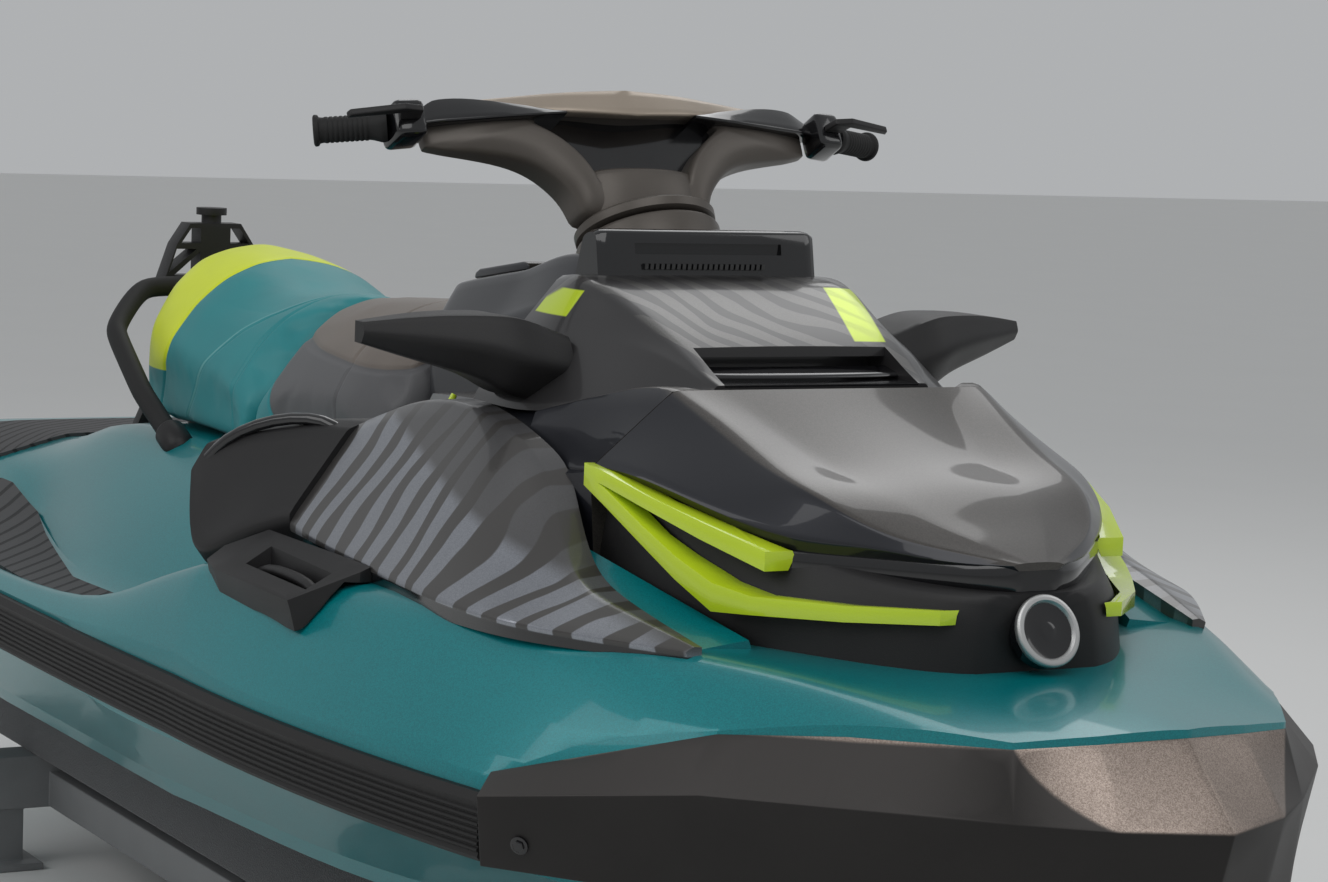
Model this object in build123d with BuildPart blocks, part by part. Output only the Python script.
"""Personal watercraft on a low display cradle.

Bow towards +X, port +Y, up +Z, millimetres. The origin is on the floor under the middle of
the craft. Stations are measured aft from the bow tip, heights up from the keel.
"""
import math
import os

from build123d import *

os.makedirs("parts", exist_ok=True)

# Driving dimensions of the craft
length = 3450.0
keel_height = 250.0
bond_z = 300.0
deck_trim = 20.0
rail_low_z = 262.0
rail_top_z = 338.0
rail_proud = 14.0
seat_gap = 0.3
panel_gap = 5.0
skin = 4.0

# Deck levels
hood_floor_z = 495.0
pedestal_z = 530.0
transom = 3440.0

# Front storage and console
hood_deck_z = 708.0
bin_front = 900.0
bin_rear = 1160.0
bin_half = 140.0
bin_floor_z = 400.0

# Steering
steer_tilt = 28.0
pivot_s = 1300.0
pivot_z = 915.0
collar_radius = 95.0
collar_thick = 18.0
stem_radius = 22.0
stem_reach = 106.0
grip_radius = 17.0
grip_reach = 424.0

# Jet pump
jet_z = 150.0
duct_radius = 82.0
housing_wall = 9.0
impeller_radius = 77.0
hub_radius = 30.0
shaft_radius = 14.0
tunnel_half = 200.0
tunnel_top_z = 272.0
tunnel_front = 2720.0
nozzle_pivot_s = 3175.0
bucket_pivot_s = 3190.0
intake_half = 105.0

bumper_tip = 30.0
bow_x = length / 2 + bumper_tip


def x_of(s):
    """Row X of a station measured aft from the bow tip."""
    return bow_x - s


def z_of(height):
    """Row Z of a height above the keel."""
    return keel_height + height


def at(s, y, height):
    """Row point of a station, a distance to port and a height."""
    return (x_of(s), y, z_of(height))


def cross(s):
    """Cross-section plane at a station: local x to port, local y up from the keel."""
    return Plane(origin=at(s, 0, 0), x_dir=(0, 1, 0), z_dir=(1, 0, 0))


def side(y):
    """Side-view plane at a distance to port: local x aft from the bow tip, local y up."""
    return Plane(origin=at(0, y, 0), x_dir=(-1, 0, 0), z_dir=(0, 1, 0))


def top(height):
    """Plan-view plane at a height: local x aft from the bow tip, local y to starboard."""
    return Plane(origin=at(0, 0, height), x_dir=(-1, 0, 0), z_dir=(0, 0, 1))


def steer_plane(along=0.0):
    """Plane across the steering axis: local x to port, local y aft and down."""
    tilt = math.radians(steer_tilt)
    axis = Vector(-math.sin(tilt), 0, math.cos(tilt))
    origin = Vector(*at(pivot_s, 0, pivot_z)) + axis * along
    return Plane(origin=origin, x_dir=(0, 1, 0), z_dir=axis)


def bar_plane(forward=0.0):
    """Plane that faces forward along the handlebar: local x to port, local y up the axis."""
    tilt = math.radians(steer_tilt)
    facing = Vector(math.cos(tilt), 0, math.sin(tilt))
    origin = Vector(*at(pivot_s, 0, pivot_z)) + facing * forward
    return Plane(origin=origin, x_dir=(0, 1, 0), z_dir=facing)


def outline(plane, points):
    """A face bounded by straight lines through the points."""
    with BuildSketch(plane) as sketch:
        with BuildLine():
            Polyline(*points, close=True)
        make_face()
    return sketch.sketch


def both_sides(half):
    """A symmetric outline from its half, from the bottom centre round to the top centre."""
    other = [(-y, z) for y, z in reversed(half) if y != 0]
    return list(half) + other


def to_hand(points, sign):
    """The same cross-section points on the starboard (-1) or the port (1) side."""
    return [(sign * y, z) for y, z in points]


hands = (("right", -1), ("left", 1))

# Plan outline of the bond line: the nose corners under the bumper, then points down the side
nose_plan = [(114, 0), (140, 95), (172, 178), (320, 285), (430, 375), (645, 532)]
side_plan = [(645, 532), (950, 582), (1400, 606), (2100, 614), (2800, 602), (transom, 560)]


def plan_curve(out):
    """The starboard bond line, moved outboard by a distance, as a sketch edge."""
    a, b, c, d, e, f = [(s, y + out) for s, y in side_plan]
    ThreePointArc(a, b, c)
    ThreePointArc(c, d, f)


def half_plan(out, level):
    """Half plan of the craft inside the bond line, at a height."""
    with BuildSketch(top(level)) as sketch:
        with BuildLine():
            Polyline(*nose_plan)
            plan_curve(out)
            Line((transom, 560 + out), (transom, 0))
            Line((transom, 0), nose_plan[0])
        make_face()
    return sketch.sketch


# Hull bottom. Columns: station, keel z, chine y, chine z, strake y, side y below the rail
bow_hull_rows = [
    (90, 205, 80, 235, 40, 190),
    (260, 130, 150, 205, 75, 330),
    (560, 48, 290, 168, 145, 500),
    (900, 10, 400, 140, 205, 580),
    (1300, 0, 462, 128, 240, 610),
    (1700, 0, 486, 124, 253, 618),
]
stern_hull_rows = [
    (1700, 0, 486, 124, 253, 618),
    (2400, 0, 490, 124, 255, 620),
    (transom, 0, 470, 124, 245, 572),
]


def hull_half(row):
    s, keel, chine_y, chine_z, strake_y, side_y = row
    rise = (chine_z - keel) / chine_y
    strake_z = keel + rise * strake_y
    return [
        (0, keel),
        (strake_y, strake_z),
        (strake_y * 1.03, strake_z - strake_y * 0.03),
        (chine_y * 0.93, chine_z - rise * chine_y * 0.05),
        (chine_y, chine_z - chine_y * 0.03),
        (chine_y * 1.045, chine_z + chine_y * 0.03),
        (side_y, rail_low_z),
        (side_y, bond_z),
        (0, bond_z),
    ]


# Deck. Columns: station, rail y, then y and z of the side, gunwale outer and inner edges,
# floor outer and inner edges, flank and pedestal edge, and last the centre height
bow_deck_rows = [
    (100, 230, (230, 430), (205, 450), (160, 458), (125, 464), (90, 469), (60, 473), (30, 476), 478),
    (260, 340, (300, 440), (225, 470), (180, 474), (145, 478), (110, 481), (72, 484), (36, 485), 486),
    (430, 440, (400, 425), (300, 494), (240, 496), (190, 496), (140, 496), (92, 496), (46, 495), 495),
    (600, 540, (490, 418), (400, 505), (340, 503), (270, 499), (200, 497), (130, 496), (65, 495), 495),
    (850, 580, (545, 415), (480, 512), (420, 508), (340, 500), (270, 497), (180, 496), (90, 495), 495),
    (1050, 600, (570, 412), (515, 503), (450, 505), (370, 499), (280, 497), (190, 496), (95, 495), 495),
    (1240, 612, (585, 408), (545, 488), (480, 498), (400, 497), (300, 496), (200, 495), (100, 495), 495),
]
main_deck_rows = [
    (1240, 612, (585, 408), (545, 488), (480, 498), (400, 497), (300, 496), (200, 495), (100, 495), 495),
    (1400, 616, (590, 408), (552, 484), (500, 492), (420, 497), (310, 496), (215, 495), (100, 495), 495),
    (1440, 616, (590, 409), (558, 474), (538, 474), (505, 330), (385, 330), (290, 470), (235, 530), 530),
    (1600, 619, (598, 390), (568, 430), (550, 430), (525, 330), (412, 330), (302, 465), (240, 530), 530),
    (1780, 621, (604, 350), (588, 362), (572, 362), (548, 330), (430, 330), (315, 468), (240, 530), 530),
    (2250, 622, (606, 346), (592, 352), (576, 352), (550, 330), (452, 332), (330, 470), (240, 530), 530),
    (2650, 616, (600, 348), (586, 356), (568, 360), (530, 350), (348, 353), (305, 455), (235, 530), 530),
    (2880, 604, (588, 360), (575, 392), (555, 402), (510, 412), (335, 420), (280, 430), (210, 450), 455),
    (transom, 572, (552, 360), (540, 394), (520, 408), (470, 420), (370, 426), (270, 430), (150, 432), 432),
]

# Coaming that rises from the deck beside the shroud
coaming_rows = [
    (560, [(250, 480), (330, 480), (330, 500), (262, 508)]),
    (700, [(290, 480), (420, 480), (400, 512), (300, 545)]),
    (850, [(300, 480), (450, 480), (420, 520), (335, 583)]),
    (950, [(300, 480), (440, 480), (400, 530), (342, 596)]),
]

# Recess of the mooring cleats in the gunwales
recess_front = 1105.0
recess_rear = 1305.0
recess_inner = 514.0
recess_outer = 560.0
recess_floor_z = 452.0
recess_wall = 6.0


def deck_half(row):
    """Half section of the deck, which reaches below the bond line before it is trimmed there."""
    foot_z = bond_z - deck_trim
    return [(0, foot_z), (row[1], foot_z), (row[1], rail_top_z), *row[2:-1], (0, row[-1])]


def stack(sections, ruled=False):
    """Loft through sections: one smooth skin, or straight from each section to the next."""
    if not ruled:
        loft(sections=sections)
        return
    for near, far in zip(sections, sections[1:]):
        loft(sections=[near, far], ruled=True)


def block(rows, half, **options):
    """Solid through the symmetric cross-sections of a table."""
    return stack([outline(cross(row[0]), both_sides(half(row))) for row in rows], **options)


def sided(rows, sign, **options):
    """Solid through the one-sided cross-sections (station, points) of a table."""
    return stack([outline(cross(s), to_hand(points, sign)) for s, points in rows], **options)


with BuildPart() as hull_plan:
    extrude(half_plan(0, 0), amount=bond_z + 100)
    mirror(about=Plane.XZ)

with BuildPart() as deck_plan:
    extrude(half_plan(0, bond_z), amount=400)
    mirror(about=Plane.XZ)

engine_front = 1560.0
engine_rear = 2260.0
engine_half = 185.0
engine_low_z = 80.0
engine_top_z = 480.0
engine_room = 15.0

with BuildPart() as engine_room_tool:
    with BuildSketch(top(engine_low_z)):
        with Locations(((engine_front + engine_rear) / 2, 0)):
            Rectangle(engine_rear - engine_front + 2 * engine_room, 2 * (engine_half + engine_room))
    extrude(amount=engine_top_z + engine_room - engine_low_z)

with BuildPart() as hull:
    block(bow_hull_rows, hull_half)
    block(stern_hull_rows, hull_half, ruled=True)
    add(hull_plan.part, mode=Mode.INTERSECT)
    # jet tunnel, open below and behind
    with BuildSketch(cross(transom)):
        with Locations((0, tunnel_top_z / 2 - 20)):
            Rectangle(2 * tunnel_half, tunnel_top_z + 40)
    extrude(amount=transom - tunnel_front, mode=Mode.SUBTRACT)
    # water intake, rising from the bottom to the pump
    intake = [(2290, -40), (2620, -40), (2722, 68), (2722, 232), (2600, 190)]
    extrude(outline(side(intake_half), intake), amount=-2 * intake_half, mode=Mode.SUBTRACT)
    # room over the nozzle for the raised bucket
    with BuildSketch(top(tunnel_top_z - 5)):
        with Locations(((3020 + transom) / 2, 0)):
            Rectangle(transom - 3020, 2 * tunnel_half)
    extrude(amount=60, mode=Mode.SUBTRACT)
    add(engine_room_tool.part, mode=Mode.SUBTRACT)
    with BuildSketch(cross(2700)):
        with Locations((0, jet_z)):
            Circle(shaft_radius + seat_gap)
    extrude(amount=500, mode=Mode.SUBTRACT)
hull.part.label = "hull"
export_step(hull.part, "parts/hull.step")

with BuildPart() as deck:
    block(bow_deck_rows, deck_half)
    block(main_deck_rows, deck_half, ruled=True)
    for sign in (-1, 1):
        sided(coaming_rows, sign, ruled=True)
    add(deck_plan.part, mode=Mode.INTERSECT)
    with BuildSketch(top(recess_floor_z)):
        with Locations(((recess_front + recess_rear) / 2, 0)):
            with GridLocations(1, recess_inner + recess_outer, 1, 2):
                Rectangle(recess_rear - recess_front, recess_outer - recess_inner)
    extrude(amount=100, mode=Mode.SUBTRACT)
    add(engine_room_tool.part, mode=Mode.SUBTRACT)
    # pocket for the storage bin
    with BuildSketch(top(bin_floor_z - skin)):
        with Locations(((bin_front + bin_rear) / 2, 0)):
            Rectangle(bin_rear - bin_front + 2 * skin, 2 * bin_half + 2 * skin)
    extrude(amount=200, mode=Mode.SUBTRACT)
deck.part.label = "deck"
export_step(deck.part, "parts/deck.step")

with BuildPart() as engine_block:
    with BuildSketch(top(engine_low_z + seat_gap)):
        with Locations(((engine_front + engine_rear) / 2, 0)):
            Rectangle(engine_rear - engine_front, 2 * engine_half)
    extrude(amount=engine_top_z - engine_low_z)
engine_block.part.label = "engine_block"
export_step(engine_block.part, "parts/engine_block.step")


# Rub rail along the bond line
for hand, sign in hands:
    with BuildPart() as rub_rail:
        with BuildSketch(top(rail_low_z)) as rail_plan:
            with BuildLine():
                plan_curve(0)
                Line((transom, 560), (transom, 560 + rail_proud))
                plan_curve(rail_proud)
                Line((645, 532 + rail_proud), (645, 532))
            make_face()
        extrude(amount=rail_top_z - rail_low_z)
        if sign > 0:
            mirror(about=Plane.XZ, mode=Mode.REPLACE)
    rub_rail.part.label = "rub_rail_" + hand
    export_step(rub_rail.part, "parts/rub_rail_" + hand + ".step")


# Bow bumper. Each rib: station and half-width of its foot on the deck and of its crease, then
# the heights of the top edge and of the crease
bumper_ribs = [
    ((114, 0), (bumper_tip, 0), 470, 386),
    ((140, 95), (78, 104), 464, 385),
    ((172, 178), (150, 190), 458, 384),
    ((320, 285), (290, 330), 449, 383),
    ((430, 375), (398, 415), 436, 379),
    ((645, 532), (610, 566), 362, 344),
]


def bumper_rib(foot, crease, top_z, crease_z):
    """Upright section of the bumper between its foot on the deck and its crease."""
    run = math.dist(foot, crease)
    plane = Plane(
        origin=at(foot[0], -foot[1], 0),
        x_dir=(-(crease[0] - foot[0]), -(crease[1] - foot[1]), 0),
        z_dir=(-(crease[1] - foot[1]), crease[0] - foot[0], 0),
    )
    low = run * 0.55
    return outline(plane, [(0, rail_low_z), (0, top_z), (run, crease_z), (low, rail_low_z)])


with BuildPart() as bow_bumper:
    stack([bumper_rib(*rib) for rib in bumper_ribs], ruled=True)
    mirror(about=Plane.XZ)
bow_bumper.part.label = "bow_bumper"
export_step(bow_bumper.part, "parts/bow_bumper.step")

# Hood. Columns: station, half-width and z of the foot, of the lip, of the side crease and of
# the raised facet, then the centre height
hood_foot_z = hood_floor_z + 60
hood_rows = [
    (388, (26, 602), (34, 608), (26, 610), (12, 611), 611),
    (434, (92, 600), (100, 607), (88, 620), (44, 627), 628),
    (486, (140, 606), (150, 620), (146, 632), (78, 644), 645),
    (563, (210, 600), (220, 618), (190, 670), (98, 673), 675),
    (645, (264, 634), (273, 645), (190, 690), (108, 680), 692),
    (750, (298, 660), (308, 671), (200, 733), (130, 720), 727),
    (825, (311, 661), (321, 672), (219, 757), (148, 757), 757),
]


def hood_half(row):
    s, foot, lip, crease, facet, centre = row
    return [(0, foot[1]), foot, lip, crease, facet, (0, centre)]


# Hood deck behind the seam, which carries the front storage and the console
hood_deck_rows = [
    (825, 316, 325, 665, 170, 742),
    (875, 320, 334, 655, 210, 737),
    (935, 321, 337, 650, 265, 723),
    (1050, 318, 334, 650, 300, hood_deck_z),
    (1240, 300, 315, 650, 280, hood_deck_z),
    (1450, 240, 250, 620, 235, 690),
]

# Horns of the hood on both sides of the storage cover
horn_rows = [
    (825, [(180, 700), (318, 660), (321, 672), (219, 757), (180, 757)]),
    (862, [(222, 700), (320, 655), (324, 662), (232, 764), (222, 764)]),
    (1000, [(304, 690), (326, 645), (330, 652), (309, 715), (304, 715)]),
]


def hood_deck_half(row):
    s, foot_y, lip_y, lip_z, top_y, top_z = row
    return [(0, hood_foot_z), (foot_y, hood_foot_z), (lip_y, lip_z), (top_y, top_z), (0, top_z)]


def bin_opening(floor_z):
    """Straight-sided opening for the storage bin, from a height upwards."""
    with BuildPart() as opening:
        with BuildSketch(top(floor_z)):
            with Locations(((bin_front + bin_rear) / 2, 0)):
                Rectangle(bin_rear - bin_front + 2 * skin, 2 * bin_half + 2 * skin)
        extrude(amount=400)
    return opening.part


with BuildPart() as hood:
    block(hood_rows, hood_half, ruled=True)
    block(hood_deck_rows, hood_deck_half, ruled=True)
    for sign in (-1, 1):
        sided(horn_rows, sign, ruled=True)
    add(bin_opening(hood_floor_z), mode=Mode.SUBTRACT)
hood.part.label = "hood"
export_step(hood.part, "parts/hood.step")

# Shroud under the hood: black tray that carries the trim strips and the nose badge.
# Columns: station, half-width of the foot, half-width at the hood foot, half-width and z of the top
shroud_rows = [
    (383, 82, 72, 64, 580),
    (400, 122, 112, 100, 580),
    (470, 188, 178, 162, 584),
    (570, 243, 236, 208, 609),
    (645, 275, 268, 256, 640),
    (700, 298, 294, 280, 651),
    (825, 320, 315, 304, 668),
    (960, 325, 315, 304, 668),
]


def shroud_half(row):
    s, foot_y, mid_y, top_y, top_z = row
    foot_z = hood_floor_z - 15
    return [(0, foot_z), (foot_y, foot_z), (mid_y, hood_foot_z), (top_y, top_z), (0, top_z)]


with BuildPart() as hood_shroud:
    block(shroud_rows, shroud_half, ruled=True)
    add(bin_opening(hood_floor_z - 100), mode=Mode.SUBTRACT)
    add(hood.part, mode=Mode.SUBTRACT)
    add(deck.part, mode=Mode.SUBTRACT)
hood_shroud.part.label = "hood_shroud"
export_step(hood_shroud.part, "parts/hood_shroud.step")

# Gloss band under the lip of the hood. Columns: station, lower and upper half-width, lower z, upper z
band_rows = [
    (392, 12, 24, 581, 606),
    (434, 82, 90, 577, 605),
    (486, 130, 138, 570, 610),
    (563, 198, 207, 560, 606),
    (600, 216, 226, 560, 612),
]


def band_half(row):
    s, low_y, high_y, low_z, high_z = row
    return [(0, low_z), (low_y, low_z), (high_y, high_z), (0, high_z)]


with BuildPart() as hood_band:
    block(band_rows, band_half, ruled=True)
    add(hood.part, mode=Mode.SUBTRACT)
    add(hood_shroud.part, mode=Mode.SUBTRACT)
hood_band.part.label = "hood_band"
export_step(hood_band.part, "parts/hood_band.step")

with BuildPart() as storage_bin:
    with BuildSketch(top(bin_floor_z - skin + seat_gap)):
        with Locations(((bin_front + bin_rear) / 2, 0)):
            Rectangle(bin_rear - bin_front + 2 * (skin - seat_gap), 2 * (bin_half + skin - seat_gap))
    extrude(amount=hood_deck_z - bin_floor_z)
    with BuildSketch(top(bin_floor_z)):
        with Locations(((bin_front + bin_rear) / 2, 0)):
            Rectangle(bin_rear - bin_front, 2 * bin_half)
    extrude(amount=400, mode=Mode.SUBTRACT)
storage_bin.part.label = "storage_bin"
export_step(storage_bin.part, "parts/storage_bin.step")

# Storage cover. Columns: station, foot half-width and z, shoulder half-width and z, top
# half-width, top z
cover_rows = [
    (845, 158, 740.5, 152, 756, 148, 760),
    (875, 203, 737.5, 165, 768, 154, 772),
    (935, 257, 723.5, 185, 795, 156, 804),
    (1050, 296, hood_deck_z + 0.5, 225, 800, 178, 850),
    (1118, 298, hood_deck_z + 0.5, 235, 810, 192, 874),
    (1200, 294, hood_deck_z + 0.5, 225, 810, 176, 866),
]


def cover_half(row):
    s, foot_y, foot_z, mid_y, mid_z, top_y, top_z = row
    rim = [(foot_y, foot_z), (foot_y - 4, foot_z + 10)]
    return [(0, foot_z), *rim, (mid_y, mid_z), (top_y, top_z), (0, top_z + 3)]


with BuildPart() as storage_cover:
    block(cover_rows, cover_half, ruled=True)
    # hollow underside over the bin
    hollow = [
        (bin_front + 10, 690), (bin_rear - 5, 690), (bin_rear - 5, 830), (1080, 826), (bin_front + 40, 765),
    ]
    extrude(outline(side(130), hollow), amount=-260, mode=Mode.SUBTRACT)
    # air scoop across the front
    scoop = [(865, 775), (955, 798), (955, 790), (905, 768)]
    extrude(outline(side(136), scoop), amount=-272, mode=Mode.SUBTRACT)
storage_cover.part.label = "storage_cover"
export_step(storage_cover.part, "parts/storage_cover.step")

# Instrument display at the rear of the cover
with BuildPart() as display:
    case = [(1124, 860), (1138, 926), (1172, 922), (1196, 855)]
    extrude(outline(side(158), case), amount=-316)
    fillet(display.edges().filter_by(Axis.Y).group_by(Axis.Z)[-1], radius=5)
    screen = [(1180, 918), (1202, 874), (1194, 870), (1172, 914)]
    extrude(outline(side(110), screen), amount=-220, mode=Mode.SUBTRACT)
    add(storage_cover.part, mode=Mode.SUBTRACT)
display.part.label = "display"
export_step(display.part, "parts/display.step")

# Rear-view mirror pods. Columns: distance out, front and rear stations, lower and upper z
mirror_rows = [
    (238, 1030, 1150, 718, 800),
    (300, 1030, 1150, 718, 824),
    (335, 1045, 1150, 746, 825),
    (400, 1076, 1150, 762, 824),
    (482, 1122, 1150, 786, 812),
]
for hand, sign in hands:
    with BuildPart() as mirror_pod:
        pod = []
        for y, front, rear, low, high in mirror_rows:
            middle = (low + high) / 2
            depth = rear - front
            points = [
                (front, middle), (front + depth * 0.2, high), (rear, high), (rear, low), (front + depth * 0.3, low),
            ]
            pod.append(outline(side(sign * y), points))
        stack(pod, ruled=True)
        add(storage_cover.part, mode=Mode.SUBTRACT)
    mirror_pod.part.label = "mirror_pod_" + hand
    export_step(mirror_pod.part, "parts/mirror_pod_" + hand + ".step")
    with BuildPart() as mirror_glass:
        glass = [(290, 756), (292, 816), (400, 816), (462, 806), (456, 790), (395, 764)]
        extrude(outline(cross(1150), to_hand(glass, sign)), amount=-6)
    mirror_glass.part.label = "mirror_glass_" + hand
    export_step(mirror_glass.part, "parts/mirror_glass_" + hand + ".step")

# Console behind the cover, up to the steering collar and back to the seat
stem_top = 13.7
glove_front = 1465.0
glove_rear = 1600.0
glove_half = 80.0
glove_floor_z = 730.0
with BuildPart() as console:
    spine = [
        (1212, hood_foot_z), (1212, 850), (1228, 893), (1345, 885), (1420, 858), (1640, 826),
        (1650, pedestal_z), (1500, pedestal_z), (1455, hood_foot_z),
    ]
    extrude(outline(side(150), spine), amount=-300)
    chamfer(console.edges().filter_by(Axis.X, tolerance=20).group_by(Axis.Z)[-1], length=20)
    # seat for the steering collar and bore for the stem
    with BuildSketch(steer_plane(stem_top - collar_thick - panel_gap)):
        Circle(collar_radius + panel_gap + 1)
    extrude(amount=120, mode=Mode.SUBTRACT)
    with BuildSketch(steer_plane(0)):
        Circle(stem_radius + seat_gap)
    extrude(amount=-(stem_reach + 10), mode=Mode.SUBTRACT)
    # glove box, open at the top
    with BuildSketch(top(glove_floor_z)):
        with Locations(((glove_front + glove_rear) / 2, 0)):
            Rectangle(glove_rear - glove_front, 2 * glove_half)
    extrude(amount=200, mode=Mode.SUBTRACT)
    add(hood.part, mode=Mode.SUBTRACT)
    add(deck.part, mode=Mode.SUBTRACT)
console.part.label = "console"
export_step(console.part, "parts/console.step")

with BuildPart() as glove_lid:
    lid_line = [(1452, 853.8), (1615, 830.1), (1613, 839), (1600, 845), (1470, 864), (1454, 863)]
    lid_half = glove_half + 14
    extrude(outline(side(lid_half), lid_line), amount=-2 * lid_half)
    add(console.part, mode=Mode.SUBTRACT)
glove_lid.part.label = "glove_lid"
export_step(glove_lid.part, "parts/glove_lid.step")

# Neon trim strips on the shroud: a bent check under a blade, joined at the rear tip.
# Columns: station, inner and outer distance from the middle, lower and upper z
lower_trim_rows = [
    (395, 90, 122, 545, 561),
    (470, 160, 198, 540, 558),
    (560, 215, 262, 536, 557),
    (605, 235, 286, 534, 566),
    (660, 255, 302, 562, 588),
    (720, 275, 314, 594, 616),
    (790, 296, 326, 630, 650),
    (830, 302, 331, 648, 662),
]
upper_trim_rows = [
    (560, 205, 246, 584, 606),
    (640, 245, 284, 610, 630),
    (720, 275, 310, 634, 650),
    (790, 296, 326, 652, 668),
    (830, 302, 331, 658, 674),
]


def bar_section(inner, outer, low, high):
    """Upright rectangle between two distances out and two heights."""
    return [(inner, low), (outer, low), (outer, high), (inner, high)]


trims = {}
for hand, sign in hands:
    with BuildPart() as trim_strip:
        for rows in (lower_trim_rows, upper_trim_rows):
            sided([(row[0], bar_section(*row[1:])) for row in rows], sign, ruled=True)
        add(hood_shroud.part, mode=Mode.SUBTRACT)
        add(hood.part, mode=Mode.SUBTRACT)
    trim_strip.part.label = "trim_strip_" + hand
    trims[hand] = trim_strip.part
    export_step(trim_strip.part, "parts/trim_strip_" + hand + ".step")

# Blank round badge on the nose of the shroud
badge_plane = Plane(origin=at(374, 0, 542), x_dir=(0, 1, 0), z_dir=(0.93, 0, 0.37))
with BuildPart() as nose_badge:
    with BuildSketch(badge_plane):
        Circle(41)
    extrude(amount=-30)
    chamfer(nose_badge.faces().sort_by(Axis.X)[-1].edges(), length=4)
    add(hood_shroud.part, mode=Mode.SUBTRACT)
    add(hood.part, mode=Mode.SUBTRACT)
    add(hood_band.part, mode=Mode.SUBTRACT)
    add(deck.part, mode=Mode.SUBTRACT)
nose_badge.part.label = "nose_badge"
export_step(nose_badge.part, "parts/nose_badge.step")

# Side panels from the nose back to the knee. Each row: station, then the outline of its foot
# (inner, outer), outer edge, top outer and top inner
panel_rows = [
    (535, [(336, 490), (352, 490), (356, 504), (346, 509), (336, 508)]),
    (690, [(352, 490), (455, 490), (463, 510), (382, 540), (352, 538)]),
    (780, [(346, 490), (480, 490), (487, 512), (384, 560), (346, 560)]),
    (880, [(322, 490), (488, 490), (493, 516), (352, 652), (322, 664)]),
    (975, [(330, 490), (490, 490), (494, 518), (356, 702), (335, 706)]),
    (1210, [(300, 490), (474, 490), (483, 526), (345, 722), (300, 722)]),
    (1345, [(300, 490), (462, 490), (478, 536), (384, 664), (300, 664)]),
]
flanks = {}
for hand, sign in hands:
    with BuildPart() as side_panel:
        sided(panel_rows, sign, ruled=True)
        add(hood.part, mode=Mode.SUBTRACT)
        add(hood_shroud.part, mode=Mode.SUBTRACT)
        add(deck.part, mode=Mode.SUBTRACT)
        add(trims[hand], mode=Mode.SUBTRACT)
    side_panel.part.label = "side_panel_" + hand
    flanks[hand] = side_panel.part
    export_step(side_panel.part, "parts/side_panel_" + hand + ".step")

# Knee fenders at the front of the footwells
fender_rows = [
    (1345, [(250, 485), (462, 485), (479, 547), (400, 655), (372, 666), (250, 666)]),
    (1420, [(240, 485), (505, 480), (522, 520), (425, 652), (395, 662), (240, 662)]),
    (1510, [(244, 534), (535, 440), (553, 458), (470, 632), (430, 646), (244, 646)]),
    (1575, [(244, 536), (500, 540), (522, 576), (500, 612), (450, 630), (244, 634)]),
]
knees = {}
for hand, sign in hands:
    with BuildPart() as knee_fender:
        sided(fender_rows, sign, ruled=True)
        add(hood.part, mode=Mode.SUBTRACT)
        add(console.part, mode=Mode.SUBTRACT)
        add(deck.part, mode=Mode.SUBTRACT)
    knee_fender.part.label = "knee_fender_" + hand
    knees[hand] = knee_fender.part
    export_step(knee_fender.part, "parts/knee_fender_" + hand + ".step")

# Mooring cleat housings on the gunwales
cleat_rows = [
    (1068, [(484, 470), (500, 470), (503, 480), (502, 516), (488, 522)]),
    (1112, [(470, 440), (566, 440), (573, 466), (577, 478), (492, 524)]),
    (1350, [(478, 440), (564, 440), (572, 468), (576, 481), (502, 528)]),
    (1412, [(520, 450), (554, 450), (558, 470), (561, 483), (537, 500)]),
]
for hand, sign in hands:
    with BuildPart() as cleat_housing:
        sided(cleat_rows, sign, ruled=True)
        add(deck.part, mode=Mode.SUBTRACT)
        add(flanks[hand], mode=Mode.SUBTRACT)
        add(knees[hand], mode=Mode.SUBTRACT)
        with BuildSketch(top(recess_floor_z + recess_wall)):
            with Locations(((recess_front + recess_rear) / 2, -sign * (recess_inner + recess_outer) / 2)):
                pocket_length = recess_rear - recess_front - 2 * recess_wall
                pocket_width = recess_outer - recess_inner - 2 * recess_wall
                Rectangle(pocket_length, pocket_width)
        extrude(amount=90, mode=Mode.SUBTRACT)
    cleat_housing.part.label = "cleat_housing_" + hand
    export_step(cleat_housing.part, "parts/cleat_housing_" + hand + ".step")

# Footwell mats, up to the boarding platform. Columns: station, inner and outer edge, top z
mat_depth = 30.0
mat_rows = [
    (1560, 425, 505, 336),
    (2180, 462, 545, 338),
    (2500, 392, 538, 350),
    (2650, 355, 522, 360),
    (2840, 346, 500, 414),
]
for hand, sign in hands:
    with BuildPart() as footwell_mat:
        mats = [(s, bar_section(inner, outer, high - mat_depth, high)) for s, inner, outer, high in mat_rows]
        sided(mats, sign, ruled=True)
        add(deck.part, mode=Mode.SUBTRACT)
    footwell_mat.part.label = "footwell_mat_" + hand
    export_step(footwell_mat.part, "parts/footwell_mat_" + hand + ".step")

with BuildPart() as platform_mat:
    with BuildSketch(top(400)):
        with Locations((3150, 0)):
            Rectangle(380, 700)
    extrude(amount=45)
    add(deck.part, mode=Mode.SUBTRACT)
platform_mat.part.label = "platform_mat"
export_step(platform_mat.part, "parts/platform_mat.step")

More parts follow.
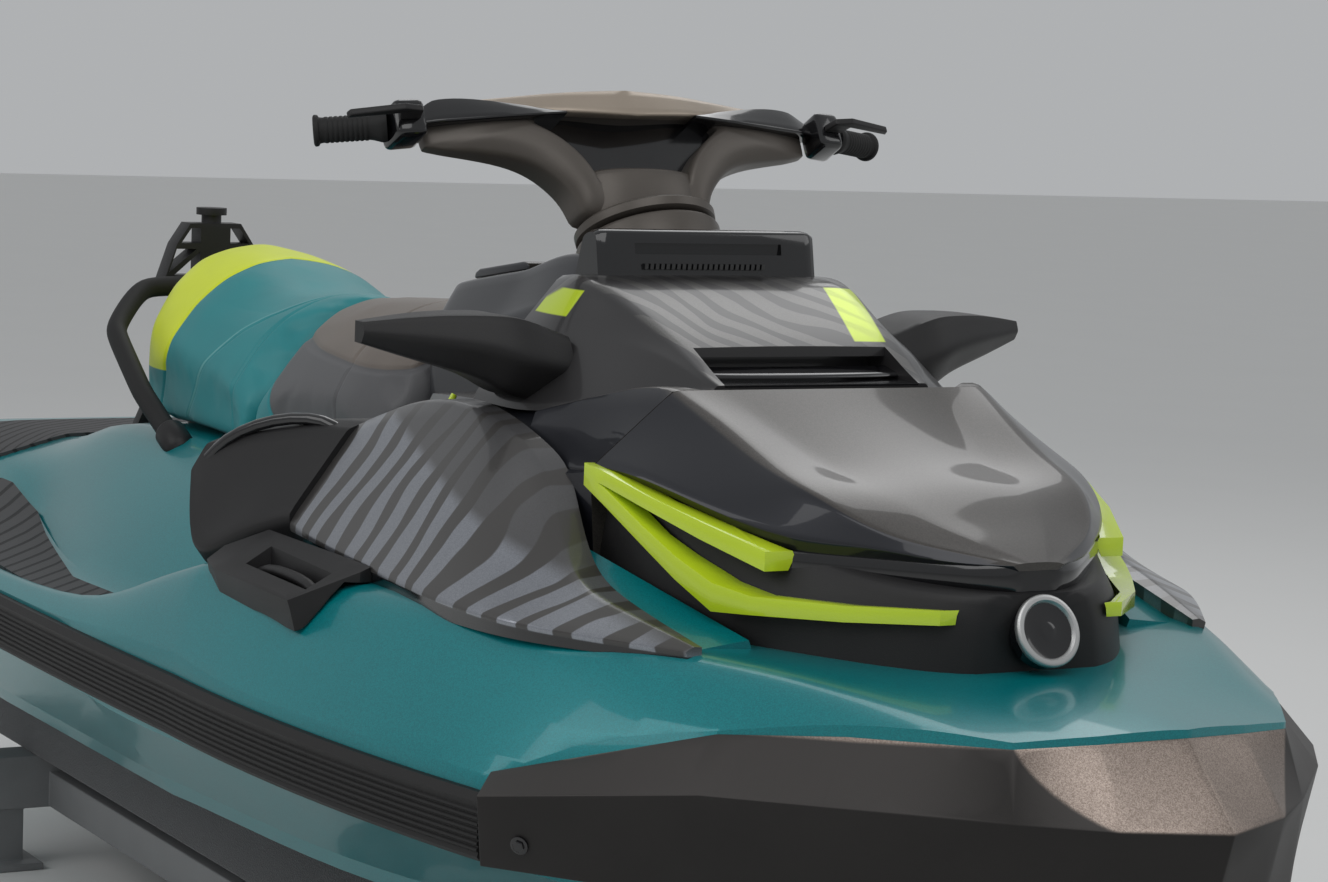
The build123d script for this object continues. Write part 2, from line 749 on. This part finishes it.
# Seats. Columns: station, foot half-width, waist (half-width and z), side, shoulder, and top z
front_seat_rows = [
    (1655, 205, (200, 640), (165, 712), (92, 776), 790),
    (1800, 215, (205, 630), (166, 706), (92, 770), 785),
    (1980, 220, (210, 610), (160, 692), (86, 762), 778),
    (2140, 222, (212, 590), (150, 676), (76, 747), 768),
]
rear_seat_rows = [
    (2145, 222, (212, 590), (150, 678), (76, 749), 770),
    (2280, 220, (209, 612), (160, 694), (86, 762), 780),
    (2430, 214, (205, 642), (165, 720), (98, 784), 800),
    (2600, 200, (196, 668), (152, 744), (100, 792), 816),
    (2665, 184, (174, 668), (134, 740), (88, 784), 806),
    (2700, 165, (150, 656), (116, 722), (72, 764), 784),
]


def seat_half(row):
    s, foot_y, waist, flank, shoulder, top_z = row
    foot_z = pedestal_z + seat_gap
    return [(0, foot_z), (foot_y, foot_z), waist, flank, shoulder, (0, top_z)]


with BuildPart() as front_seat:
    block(front_seat_rows, seat_half, ruled=True)
front_seat.part.label = "front_seat"
export_step(front_seat.part, "parts/front_seat.step")

with BuildPart() as rear_seat:
    block(rear_seat_rows, seat_half, ruled=True)
rear_seat.part.label = "rear_seat"
export_step(rear_seat.part, "parts/rear_seat.step")

# Grab handle hoop round the back of the seat
with BuildPart() as grab_handle:
    hoop = [at(2340, -246, 520), at(2470, -256, 586), at(2640, -240, 668), at(2745, -150, 734),
            at(2745, 150, 734), at(2640, 240, 668), at(2470, 256, 586), at(2340, 246, 520)]
    with BuildLine() as hoop_path:
        FilletPolyline(*hoop, radius=60)
    with BuildSketch(Plane(origin=hoop_path.line @ 0, z_dir=hoop_path.line % 0)):
        Circle(16)
    sweep(path=hoop_path.line)
    add(deck.part, mode=Mode.SUBTRACT)
    add(rear_seat.part, mode=Mode.SUBTRACT)
grab_handle.part.label = "grab_handle"
export_step(grab_handle.part, "parts/grab_handle.step")

# Tow pylon: braced base behind the seat and a mast that slides up out of it
pylon_s = 2830.0
pylon_foot_z = 480.0
mast_radius = 19.0
sleeve_radius = 32.0
sleeve_height = 248.0
with BuildPart() as pylon_base:
    foot = bar_section(pylon_s - 55, pylon_s + 55, 430, pylon_foot_z)
    extrude(outline(side(150), foot), amount=-300)
    with BuildSketch(top(pylon_foot_z)):
        with Locations((pylon_s, 0)):
            Circle(sleeve_radius)
    extrude(amount=sleeve_height)
    for sign in (-1, 1):
        leg = [(135 * sign, 478), (100 * sign, 478), (12 * sign, 700), (30 * sign, 724)]
        extrude(outline(cross(pylon_s - 12), leg), amount=-24)
    add(deck.part, mode=Mode.SUBTRACT)
    with BuildSketch(top(pylon_foot_z)):
        with Locations((pylon_s, 0)):
            Circle(mast_radius + seat_gap)
    extrude(amount=sleeve_height, mode=Mode.SUBTRACT)
pylon_base.part.label = "pylon_base"
export_step(pylon_base.part, "parts/pylon_base.step")

head_low_z = pylon_foot_z + sleeve_height + 8
with BuildPart() as pylon_mast:
    with BuildSketch(top(pylon_foot_z + seat_gap)):
        with Locations((pylon_s, 0)):
            Circle(mast_radius)
    extrude(amount=sleeve_height + 40)
    head = [(-92, head_low_z), (92, head_low_z), (70, 800), (46, 836), (-46, 836), (-70, 800)]
    extrude(outline(cross(pylon_s - 22), head), amount=-44)
    with BuildSketch(top(830)):
        with Locations((pylon_s, 0)):
            Circle(17)
    extrude(amount=22)
    with BuildSketch(top(850)):
        with Locations((pylon_s, 0)):
            Circle(26)
    extrude(amount=12)
pylon_mast.part.label = "pylon_mast"
export_step(pylon_mast.part, "parts/pylon_mast.step")

# Handlebar: a forked frame that faces forward, with tapering arms under a top pad
frame_foot = stem_top + seat_gap
frame_top = 188.0
arm_end = 296.0


def front_face(forward, points):
    """Symmetric outline across the handlebar, from its port half."""
    return outline(bar_plane(forward), points + [(-y, h) for y, h in reversed(points) if y != 0])


with BuildPart() as handlebar:
    frame_half = [
        (0, frame_foot), (92, frame_foot), (98, 62), (140, 96), (205, 112), (arm_end, 124),
        (arm_end, frame_top), (0, frame_top),
    ]
    extrude(front_face(28, frame_half), amount=-62)
    eye_half = [(0, 152), (86, 160), (134, 146), (112, 118), (64, 92), (0, 92)]
    extrude(front_face(60, eye_half), amount=-140, mode=Mode.SUBTRACT)
handlebar.part.label = "handlebar"
export_step(handlebar.part, "parts/handlebar.step")

with BuildPart() as bar_pad:
    pad_low = frame_top + seat_gap
    pad_half = [(0, pad_low), (290, pad_low), (284, pad_low + 10), (190, pad_low + 18), (0, pad_low + 14)]
    extrude(front_face(36, pad_half), amount=-78)
bar_pad.part.label = "bar_pad"
export_step(bar_pad.part, "parts/bar_pad.step")

with BuildPart() as steering_stem:
    with BuildSketch(steer_plane(stem_top)):
        Circle(collar_radius)
    extrude(amount=-collar_thick)
    with BuildSketch(steer_plane(stem_top - collar_thick)):
        Circle(stem_radius)
    extrude(amount=-stem_reach)
steering_stem.part.label = "steering_stem"
export_step(steering_stem.part, "parts/steering_stem.step")

pod_end = 338.0
for hand, sign in hands:
    with BuildPart() as control_pod:
        pod = [(arm_end + seat_gap, -18), (pod_end, -12), (pod_end, 44), (arm_end + seat_gap, 34)]
        extrude(outline(steer_plane(128), [(sign * y, aft) for y, aft in pod]), amount=52)
    control_pod.part.label = "control_pod_" + hand
    export_step(control_pod.part, "parts/control_pod_" + hand + ".step")

    with BuildPart() as grip:
        inner = bar_plane(-18).from_local_coords(Vector(sign * (pod_end + seat_gap), 154))
        outer = bar_plane(-58).from_local_coords(Vector(sign * grip_reach, 164))
        along = outer - inner
        with BuildSketch(Plane(origin=inner, z_dir=along)):
            Circle(grip_radius)
        extrude(amount=along.length)
        with BuildSketch(Plane(origin=outer, z_dir=along)):
            Circle(grip_radius + 4)
        extrude(amount=-14)
        add(control_pod.part, mode=Mode.SUBTRACT)
    grip.part.label = "grip_" + hand
    export_step(grip.part, "parts/grip_" + hand + ".step")

    with BuildPart() as lever:
        blade = [(305, -10), (332, -8), (340, -30), (408, -12), (406, -22), (338, -44), (312, -40)]
        extrude(outline(steer_plane(148), [(sign * y, aft) for y, aft in blade]), amount=9)
        add(control_pod.part, mode=Mode.SUBTRACT)
    lever_name = {"right": "throttle_lever", "left": "brake_lever"}[hand]
    lever.part.label = lever_name
    export_step(lever.part, "parts/" + lever_name + ".step")

# Hull fittings. Sponson columns: station, then the outline of the fin (hull side first)
sponson_rows = [
    (2480, [(540, 172), (566, 182), (590, 214), (584, 226), (556, 222)]),
    (2560, [(530, 156), (574, 166), (624, 226), (618, 250), (560, 246)]),
    (3180, [(526, 156), (562, 166), (604, 226), (598, 250), (546, 246)]),
    (3270, [(510, 172), (530, 182), (556, 214), (552, 226), (520, 222)]),
]
for hand, sign in hands:
    with BuildPart() as sponson:
        sided(sponson_rows, sign, ruled=True)
        add(hull.part, mode=Mode.SUBTRACT)
    sponson.part.label = "sponson_" + hand
    export_step(sponson.part, "parts/sponson_" + hand + ".step")

with BuildPart() as ride_plate:
    plate_edge = tunnel_half - seat_gap
    plate_half = [(0, 2), (plate_edge, 55), (plate_edge, 67), (0, 14)]
    extrude(outline(cross(tunnel_front + 6), both_sides(plate_half)), amount=-400)
ride_plate.part.label = "ride_plate"
export_step(ride_plate.part, "parts/ride_plate.step")

with BuildPart() as intake_grate:
    grate_edge = intake_half - seat_gap
    grate_half = [(0, 4), (grate_edge, 31.7), (grate_edge, 43.7), (0, 16)]
    extrude(outline(cross(2404), both_sides(grate_half)), amount=-252)
    with BuildSketch(top(-10)):
        with Locations((2530, 0)):
            with GridLocations(1, 34, 1, 5):
                Rectangle(212, 24)
    extrude(amount=80, mode=Mode.SUBTRACT)
intake_grate.part.label = "intake_grate"
export_step(intake_grate.part, "parts/intake_grate.step")

# Jet pump. Columns of the housing profile: station, outer radius, then the bore back again
pump_front = tunnel_front + seat_gap
outer_wall = duct_radius + housing_wall
venturi_end = 3115.0


def jet_side(points):
    """Side-view outline of a ring, from stations and radii above the jet line."""
    return outline(side(0), [(s, jet_z + radius) for s, radius in points])


jet_axis = Axis(at(0, 0, jet_z), (-1, 0, 0))
with BuildPart() as pump_housing:
    shell = [
        (pump_front, duct_radius), (pump_front, 120), (pump_front + 12, 120), (pump_front + 12, outer_wall),
        (3050, outer_wall), (venturi_end, 63), (venturi_end, 55), (3050, duct_radius),
    ]
    revolve(jet_side(shell), axis=jet_axis)
    core = [(2925, 0), (2925, hub_radius), (3040, hub_radius), (3085, 0)]
    revolve(jet_side(core), axis=jet_axis)
    # guide vanes behind the impeller
    with BuildSketch(cross(2930)):
        with Locations((0, jet_z)):
            with PolarLocations(0, 5):
                with Locations((56, 0)):
                    Rectangle(60, 5)
    extrude(amount=-105)
    # top and bottom ears for the steering nozzle
    for level in (jet_z + 72, jet_z - 80):
        with BuildSketch(top(level)):
            with Locations(((3040 + nozzle_pivot_s + 14) / 2, 0)):
                Rectangle(nozzle_pivot_s + 14 - 3040, 32)
        extrude(amount=8)
    # side plates and pins for the reverse bucket
    for sign in (-1, 1):
        plate = [(2990, 132), (2990, 168), (bucket_pivot_s + 14, 164), (bucket_pivot_s + 14, 136)]
        extrude(outline(side(sign * 94), plate), amount=-8 * sign)
        with BuildSketch(side(sign * 94)):
            with Locations((bucket_pivot_s, jet_z)):
                Circle(8)
        extrude(amount=16 * sign)
    with BuildSketch(top(jet_z - 90)):
        with Locations((nozzle_pivot_s, 0)):
            Circle(8 + seat_gap)
    extrude(amount=180, mode=Mode.SUBTRACT)
pump_housing.part.label = "pump_housing"
export_step(pump_housing.part, "parts/pump_housing.step")

with BuildPart() as steering_nozzle:
    nozzle = [(3145, 58), (3145, 66), (3200, 66), (3290, 58), (3290, 50), (3200, 58)]
    revolve(jet_side(nozzle), axis=jet_axis)
    for level in (jet_z + 62, jet_z - 82):
        with BuildSketch(top(level)):
            with Locations((nozzle_pivot_s, 0)):
                Circle(8)
        extrude(amount=20)
steering_nozzle.part.label = "steering_nozzle"
export_step(steering_nozzle.part, "parts/steering_nozzle.step")

with BuildPart() as impeller:
    with BuildSketch(cross(2266)):
        with Locations((0, jet_z)):
            Circle(shaft_radius)
    extrude(amount=-(2900 - 2266))
    hub = [(2750, 0), (2775, hub_radius), (2900, hub_radius), (2900, 0)]
    revolve(jet_side(hub), axis=jet_axis)
    with BuildPart(mode=Mode.PRIVATE) as blades:
        for turn in (0, 120, 240):
            radial = Vector(0, 0, 1).rotate(Axis.X, turn)
            ring = []
            for radius, pitch, chord in ((hub_radius - 6, 35, 70), (impeller_radius + 10, 62, 110)):
                along = Vector(1, 0, 0).rotate(Axis((0, 0, 0), radial), pitch)
                centre = Vector(*at(2838, 0, jet_z)) + radial * radius
                with BuildSketch(Plane(origin=centre, x_dir=along, z_dir=radial)) as section:
                    Rectangle(chord, 5)
                ring.append(section.sketch)
            loft(sections=ring)
        with BuildSketch(cross(2780)):
            with Locations((0, jet_z)):
                Circle(impeller_radius)
        extrude(amount=-116, mode=Mode.INTERSECT)
    add(blades.part)
impeller.part.label = "impeller"
export_step(impeller.part, "parts/impeller.step")

# Reverse bucket: a curved shell on two arms, raised over the nozzle
bucket_outer = 133.0
bucket_inner = 125.0
with BuildPart() as reverse_bucket:
    with BuildSketch(side(-108)) as bucket_side:
        with Locations((bucket_pivot_s, jet_z)):
            Circle(bucket_outer)
            Circle(bucket_inner, mode=Mode.SUBTRACT)
        sector = [(bucket_pivot_s, jet_z)]
        for degrees in (35, 75, 115):
            angle = math.radians(degrees)
            sector.append((bucket_pivot_s + 200 * math.cos(angle), jet_z + 200 * math.sin(angle)))
        with BuildLine():
            Polyline(*sector, close=True)
        make_face(mode=Mode.INTERSECT)
    extrude(amount=216)
    for sign in (-1, 1):
        arm = [(bucket_pivot_s, jet_z - 16), (bucket_pivot_s - 16, jet_z)]
        for degrees in (114, 75, 36):
            angle = math.radians(degrees)
            arm.append((bucket_pivot_s + 129 * math.cos(angle), jet_z + 129 * math.sin(angle)))
        arm.append((bucket_pivot_s + 16, jet_z))
        extrude(outline(side(sign * 108), arm), amount=-8 * sign)
    with BuildSketch(side(-120)):
        with Locations((bucket_pivot_s, jet_z)):
            Circle(8 + seat_gap)
    extrude(amount=240, mode=Mode.SUBTRACT)
reverse_bucket.part.label = "reverse_bucket"
export_step(reverse_bucket.part, "parts/reverse_bucket.step")

# Boarding step on the starboard stern, folded up
step_s = transom + 22
step_low_z = 140.0
step_high_z = 330.0
step_inner = 270.0
step_outer = 470.0
tube_radius = 9.0
with BuildPart() as boarding_step:
    with BuildSketch(cross(step_s - tube_radius)):
        with Locations((-(step_inner + step_outer) / 2, (step_low_z + step_high_z) / 2)):
            RectangleRounded(step_outer - step_inner + 18, step_high_z - step_low_z + 18, 30)
            inside = (step_outer - step_inner - 18, step_high_z - step_low_z - 18)
            RectangleRounded(*inside, 22, mode=Mode.SUBTRACT)
        with Locations((-(step_inner + step_outer) / 2, step_low_z)):
            Rectangle(step_outer - step_inner - 18, 40, mode=Mode.SUBTRACT)
    extrude(amount=-2 * tube_radius)
    with BuildSketch(cross(step_s - 5)):
        with Locations((-(step_inner + step_outer) / 2, step_high_z - 14)):
            Rectangle(step_outer - step_inner - 10, 46)
    extrude(amount=-12)
    with BuildSketch(side(-(step_outer + 9))):
        with Locations((step_s, step_low_z)):
            Circle(tube_radius)
    extrude(amount=step_outer - step_inner + 18)
boarding_step.part.label = "boarding_step"
export_step(boarding_step.part, "parts/boarding_step.step")

with BuildPart() as step_bracket:
    with BuildSketch(cross(transom + seat_gap)):
        with Locations((-(step_inner + step_outer) / 2, step_low_z + 4)):
            Rectangle(160, 60)
    extrude(amount=-6)
    for y in (step_inner + 50, step_outer - 50):
        lug = [
            (transom + 2, step_low_z - 20), (step_s + 6, step_low_z - 16), (step_s + 16, step_low_z),
            (step_s + 6, step_low_z + 16), (transom + 2, step_low_z + 20),
        ]
        extrude(outline(side(-y), lug), amount=8)
    with BuildSketch(side(-(step_outer + 9))):
        with Locations((step_s, step_low_z)):
            Circle(tube_radius + seat_gap)
    extrude(amount=step_outer - step_inner + 18, mode=Mode.SUBTRACT)
step_bracket.part.label = "step_bracket"
export_step(step_bracket.part, "parts/step_bracket.step")


# Bow eye and stern eyes
bow_eye_s = 96.0
eye_z = 236.0
with BuildPart() as bow_eye:
    with BuildSketch(side(-4.5)):
        with Locations((bow_eye_s, eye_z)):
            Circle(19)
        with Locations((bow_eye_s + 30, eye_z)):
            Rectangle(60, 38)
    extrude(amount=9)
    add(hull.part, mode=Mode.SUBTRACT)
    with BuildSketch(side(-5)):
        with Locations((bow_eye_s, eye_z)):
            Circle(10)
    extrude(amount=10, mode=Mode.SUBTRACT)
bow_eye.part.label = "bow_eye"
export_step(bow_eye.part, "parts/bow_eye.step")

stern_eye_y = 505.0
for hand, sign in hands:
    with BuildPart() as stern_eye:
        with BuildSketch(side(sign * stern_eye_y - 4.5)):
            with Locations((transom + 21, 215)):
                Circle(19)
            with Locations((transom, 215)):
                Rectangle(40, 38)
        extrude(amount=9)
        add(hull.part, mode=Mode.SUBTRACT)
        with BuildSketch(side(sign * stern_eye_y - 5)):
            with Locations((transom + 21, 215)):
                Circle(10)
        extrude(amount=10, mode=Mode.SUBTRACT)
    stern_eye.part.label = "stern_eye_" + hand
    export_step(stern_eye.part, "parts/stern_eye_" + hand + ".step")

# Stand: two padded bunks on a welded frame
bunk_front = 1250.0
bunk_rear = 3050.0
bunk_inner = 205.0
bunk_outer = 320.0
bunk_high = 110.0
beam_top = -60.0
beam_low = -150.0
for hand, sign in hands:
    with BuildPart() as stand_bunk:
        section = bar_section(bunk_inner, bunk_outer, beam_top + seat_gap, bunk_high)
        extrude(outline(cross(bunk_front), to_hand(section, sign)), amount=bunk_front - bunk_rear)
        add(hull.part, mode=Mode.SUBTRACT)
    stand_bunk.part.label = "stand_bunk_" + hand
    export_step(stand_bunk.part, "parts/stand_bunk_" + hand + ".step")

with BuildPart() as stand_frame:
    for s in (1500, 2800):
        with BuildSketch(top(beam_low)):
            with Locations((s, 0)):
                Rectangle(80, 860)
        extrude(amount=beam_top - beam_low)
        for y in (-370, 370):
            with BuildSketch(top(-keel_height)):
                with Locations((s, y)):
                    Rectangle(140, 120)
            extrude(amount=12)
            with BuildSketch(top(-keel_height)):
                with Locations((s, y)):
                    Rectangle(70, 70)
            extrude(amount=keel_height + beam_low + 5)
    for y in (-262, 262):
        with BuildSketch(top(beam_low)):
            with Locations((2150, y)):
                Rectangle(1300, 60)
        extrude(amount=60)
stand_frame.part.label = "stand_frame"
export_step(stand_frame.part, "parts/stand_frame.step")
